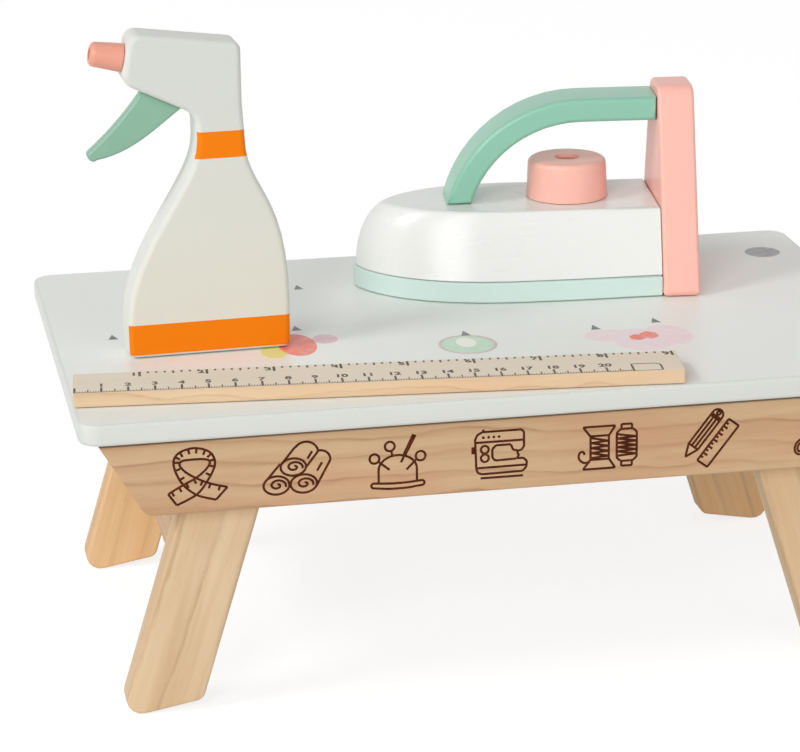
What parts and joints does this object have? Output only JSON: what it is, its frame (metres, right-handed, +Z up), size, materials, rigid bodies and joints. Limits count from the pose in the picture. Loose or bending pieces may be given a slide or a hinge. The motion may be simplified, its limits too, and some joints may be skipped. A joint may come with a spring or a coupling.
{
  "type": "toy ironing board",
  "caption": "Low wooden play ironing board on folding leg frames, with a toy iron, a flat cut-out spray bottle and a ruler that lift off.",
  "frame": {"origin": "on the floor under the middle of the board, at the centre of the bounding box's underside", "axes": "+X along the board's length, to the right as seen from the decorated front; +Y from the front to the rear; +Z up"},
  "size_m": [0.33, 0.21, 0.2491],
  "materials": {
    "white_paint": "satin white paint on wood",
    "pine": "clear matt lacquer on pine, line drawings burnt into the front apron",
    "beech": "bare turned dowel",
    "steel": "zinc-plated steel",
    "mint_paint": "satin pale mint paint on wood",
    "ivory_paint": "satin ivory paint on wood",
    "pink_paint": "satin pink paint on wood",
    "rose_paint": "satin rose paint on wood",
    "green_paint": "satin soft green paint on wood",
    "bottle_paint": "satin off-white paint on wood with orange bands",
    "ruler_wood": "bare wood with dark printed scales"
  },
  "bodies": {
    "table": {"board_top": "white_paint", "front_apron": "pine", "rear_apron": "pine", "left_end_rail": "pine", "right_end_rail": "pine", "front_board_dowel_1": "beech", "front_board_dowel_2": "beech", "front_board_dowel_3": "beech", "rear_board_dowel_1": "beech", "rear_board_dowel_2": "beech", "rear_board_dowel_3": "beech", "front_left_rail_dowel": "beech", "front_right_rail_dowel": "beech", "rear_left_rail_dowel": "beech", "rear_right_rail_dowel": "beech", "front_left_pivot_screw": "steel", "front_right_pivot_screw": "steel", "rear_left_pivot_screw": "steel", "rear_right_pivot_screw": "steel"},
    "left_leg_frame": {"front_left_leg": "pine", "rear_left_leg": "pine", "left_stretcher": "pine", "front_left_stretcher_dowel_1": "beech", "front_left_stretcher_dowel_2": "beech", "rear_left_stretcher_dowel_1": "beech", "rear_left_stretcher_dowel_2": "beech"},
    "right_leg_frame": {"front_right_leg": "pine", "rear_right_leg": "pine", "right_stretcher": "pine", "front_right_stretcher_dowel_1": "beech", "front_right_stretcher_dowel_2": "beech", "rear_right_stretcher_dowel_1": "beech", "rear_right_stretcher_dowel_2": "beech"},
    "iron": {"iron_sole": "mint_paint", "iron_body": "ivory_paint", "iron_heel_block": "pink_paint", "iron_handle": "green_paint", "iron_knob_screw": "steel", "iron_sole_dowel_1": "beech", "iron_sole_dowel_2": "beech", "iron_heel_dowel_1": "beech", "iron_heel_dowel_2": "beech", "iron_handle_foot_dowel": "beech", "iron_handle_heel_dowel": "beech"},
    "knob": {"iron_knob": "pink_paint", "iron_knob_plug": "rose_paint"},
    "bottle": {"bottle_body": "bottle_paint", "bottle_nozzle": "pink_paint", "bottle_trigger": "green_paint", "bottle_trigger_dowel_1": "beech", "bottle_trigger_dowel_2": "beech"},
    "ruler": {"ruler": "ruler_wood"}
  },
  "joints": [
    {"name": "left_leg_fold", "type": "hinge", "parent": "table", "child": "left_leg_frame", "pos_m": [-0.1068, -0.0055, 0.098], "axis": [0, -1, 0], "range_deg": [0, 106.5]},
    {"name": "right_leg_fold", "type": "hinge", "parent": "table", "child": "right_leg_frame", "pos_m": [0.1068, -0.0055, 0.098], "axis": [0, 1, 0], "range_deg": [0, 106.5]},
    {"name": "iron_lift", "type": "slide", "parent": "table", "child": "iron", "axis": [0, 0, 1], "range_m": [0, 0.12]},
    {"name": "iron_knob_turn", "type": "hinge", "parent": "iron", "child": "knob", "pos_m": [0.05463, 0.04904, 0.1577], "axis": [0, 0, 1], "continuous": true},
    {"name": "bottle_lift", "type": "slide", "parent": "table", "child": "bottle", "axis": [0, 0, 1], "range_m": [0, 0.12]},
    {"name": "ruler_lift", "type": "slide", "parent": "table", "child": "ruler", "axis": [0, 0, 1], "range_m": [0, 0.12]}
  ]
}
